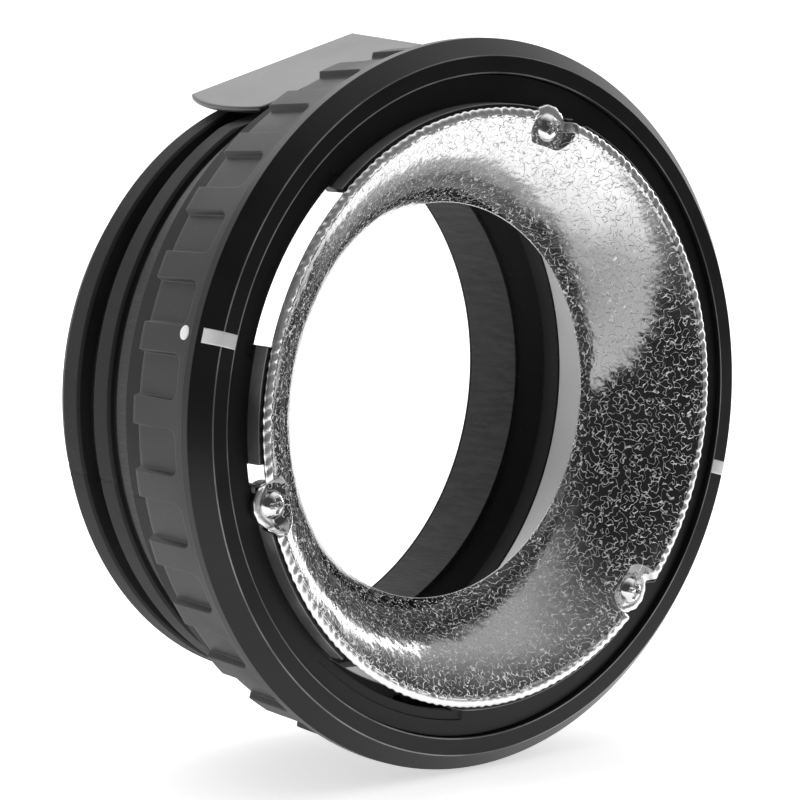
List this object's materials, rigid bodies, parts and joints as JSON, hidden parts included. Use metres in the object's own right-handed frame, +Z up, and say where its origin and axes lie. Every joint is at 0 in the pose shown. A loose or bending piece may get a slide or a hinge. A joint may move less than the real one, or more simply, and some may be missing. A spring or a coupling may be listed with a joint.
{
  "type": "studio flash ring adapter",
  "caption": "Ring adapter that clamps onto a studio flash head, with a bayonet mouth, a turning grip ring, a cam clamp lever and a stippled reflector dish.",
  "frame": {"origin": "centre of the rear mouth, where the lamp head enters the rubber collar", "axes": "+Z up; the optical axis lies along Y, the front with the reflector faces -Y and the lamp head leaves towards +Y"},
  "size_m": [0.1382, 0.0629, 0.1382],
  "materials": {
    "bezel_black": "semi-gloss black moulding",
    "index_white": "white filled marks",
    "flange_black": "black anodised plate",
    "dish_bright": "bright stippled sheet",
    "screw_bright": "nickel plated",
    "screw_zinc": "zinc plated",
    "housing_black": "glass filled moulding",
    "tube_grey": "matt grey inside wall",
    "steel_plain": "plain spring steel",
    "washer_nylon": "natural nylon",
    "grip_black": "fine matt moulding",
    "collar_rubber": "matt black rubber",
    "liner_felt": "fibrous lining",
    "band_black": "blackened spring steel",
    "lever_grey": "matt grey anodised",
    "lever_black": "black moulding"
  },
  "bodies": {
    "root": {"bezel_ring": "bezel_black", "index_bars": "index_white", "bayonet_flange": "flange_black", "reflector": "dish_bright", "reflector_screws": "screw_bright", "housing": "housing_black", "body_tube": "tube_grey", "tube_screws": "screw_zinc", "ring_screws": "screw_zinc", "retaining_ring": "steel_plain", "thrust_washer": "washer_nylon", "detent_balls": "screw_zinc", "detent_springs": "steel_plain", "rubber_collar": "collar_rubber", "collar_liner": "liner_felt", "collar_hoop": "band_black", "clamp_band": "band_black", "cam_saddle": "lever_black"},
    "grip": {"grip_ring": "grip_black", "index_dot": "index_white", "drive_pins": "steel_plain", "lock_ring": "flange_black"},
    "bolt": {"draw_bolt": "screw_zinc", "nut_washer": "screw_zinc", "draw_nut": "screw_zinc", "lever_pin": "steel_plain", "pin_clips": "steel_plain"},
    "lever": {"lever_plate": "lever_grey", "lever_core": "lever_black"}
  },
  "joints": [
    {"name": "grip_turn", "type": "hinge", "parent": "root", "child": "grip", "pos_m": [0, -0.0425, 0], "axis": [0, 1, 0], "range_deg": [0, 30]},
    {"name": "bolt_draw", "type": "slide", "parent": "root", "child": "bolt", "axis": [0.8829, 0, -0.4695], "range_m": [0, 0.00151]},
    {"name": "lever_turn", "type": "hinge", "parent": "bolt", "child": "lever", "pos_m": [0.01879, -0.0126, 0.06068], "axis": [0, 1, 0], "range_deg": [0, 90]}
  ],
  "couplings": [
    {"joint": "bolt_draw", "follows": "lever_turn", "m_per_rad": 0.00095493}
  ]
}
